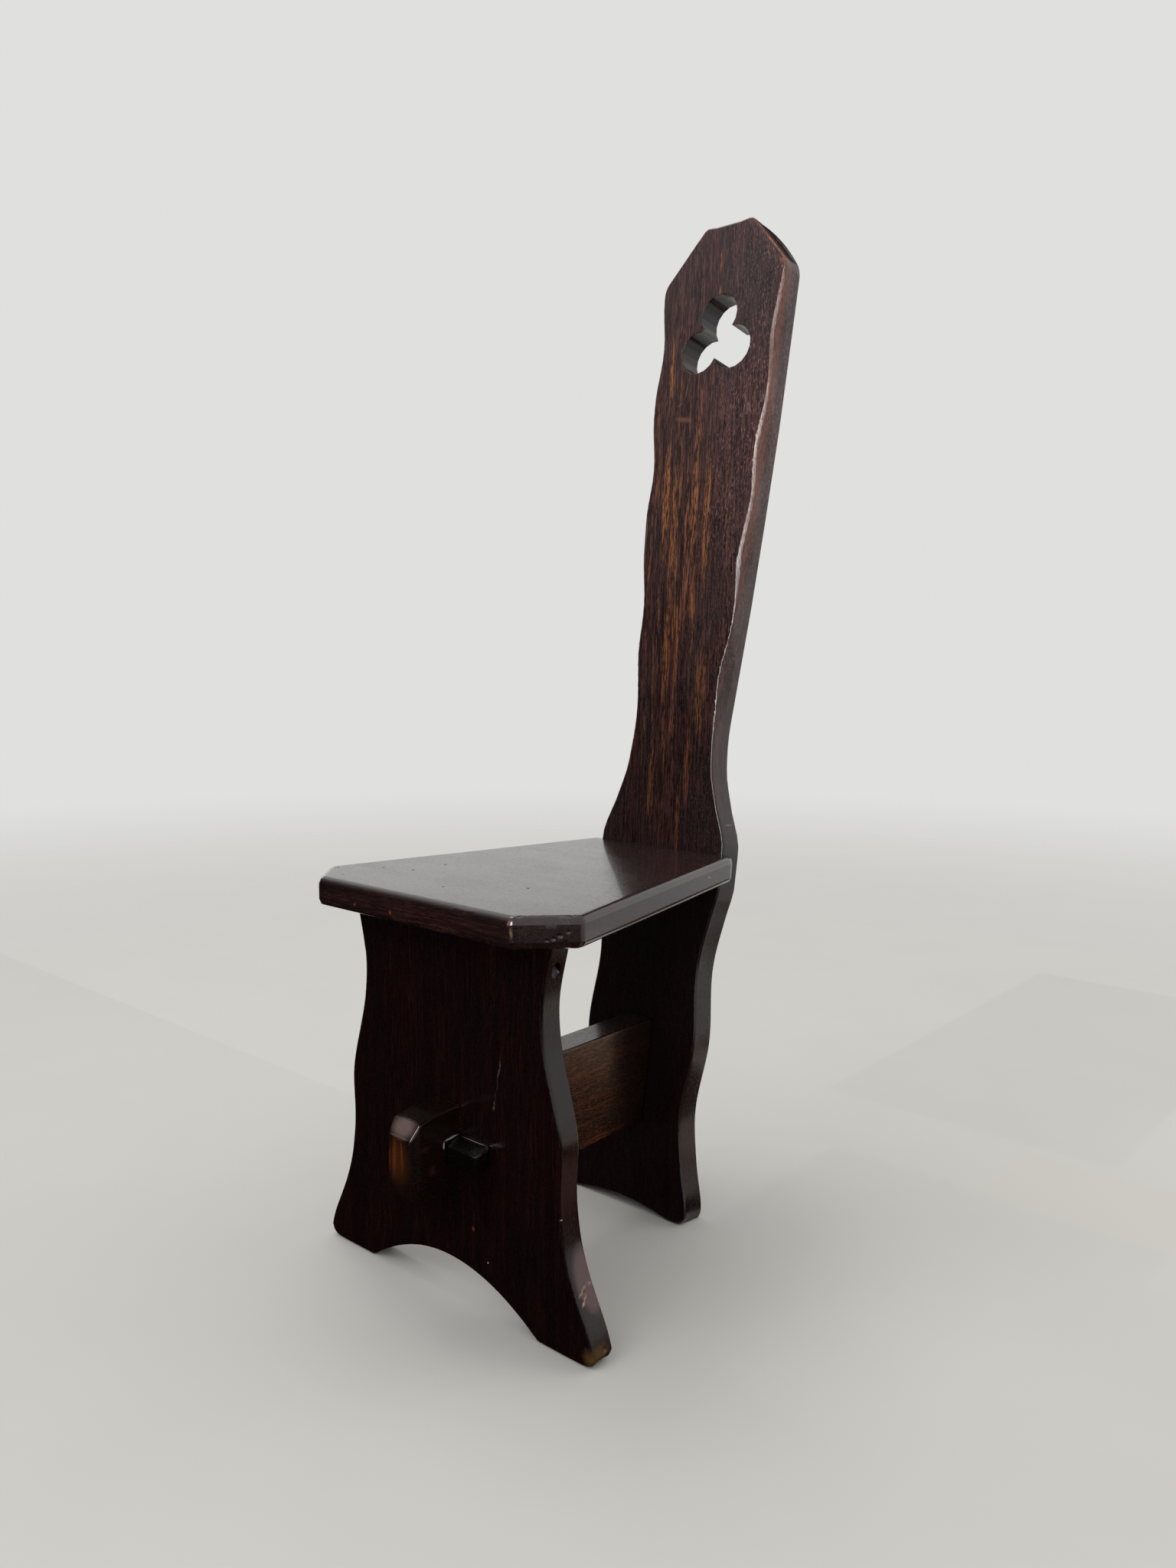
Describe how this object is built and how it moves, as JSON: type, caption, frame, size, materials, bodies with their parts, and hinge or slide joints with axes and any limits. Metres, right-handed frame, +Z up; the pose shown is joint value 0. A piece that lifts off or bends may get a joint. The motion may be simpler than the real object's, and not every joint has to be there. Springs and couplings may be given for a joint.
{
  "type": "spinning chair",
  "caption": "Low dark wooden board chair with a tall narrow leaning back, pierced trefoil hand-hold, shaped legs and a wedged through-tenon stretcher.",
  "frame": {"origin": "on the floor under the middle of the chair's bounding box", "axes": "+X to the right of someone who stands in front of the chair and looks at it, +Y from the seat's nose to the back, +Z up"},
  "size_m": [0.3564, 0.5113, 1.0664],
  "materials": {
    "dark_oak": "dark brown stain with orange-brown streaks, semi-gloss varnish",
    "seat_oak": "dark red-brown stain, glossy varnish",
    "leg_oak": "almost black red-brown stain, semi-gloss varnish",
    "stretcher_oak": "mid brown stain with dark flecks, satin varnish",
    "peg_oak": "dark brown stain, satin varnish",
    "screw_steel": "dull bright steel"
  },
  "bodies": {
    "chair": {"back_plank": "dark_oak", "seat_board": "seat_oak", "front_leg_board": "leg_oak", "stretcher": "stretcher_oak", "pocket_screw_left": "screw_steel", "pocket_screw_right": "screw_steel", "back_screw_left": "screw_steel", "back_screw_right": "screw_steel"},
    "peg": {"tusk_peg": "peg_oak"}
  },
  "joints": [
    {"name": "peg_draw", "type": "slide", "parent": "chair", "child": "peg", "axis": [1, 0, 0], "range_m": [0, 0.034]}
  ]
}
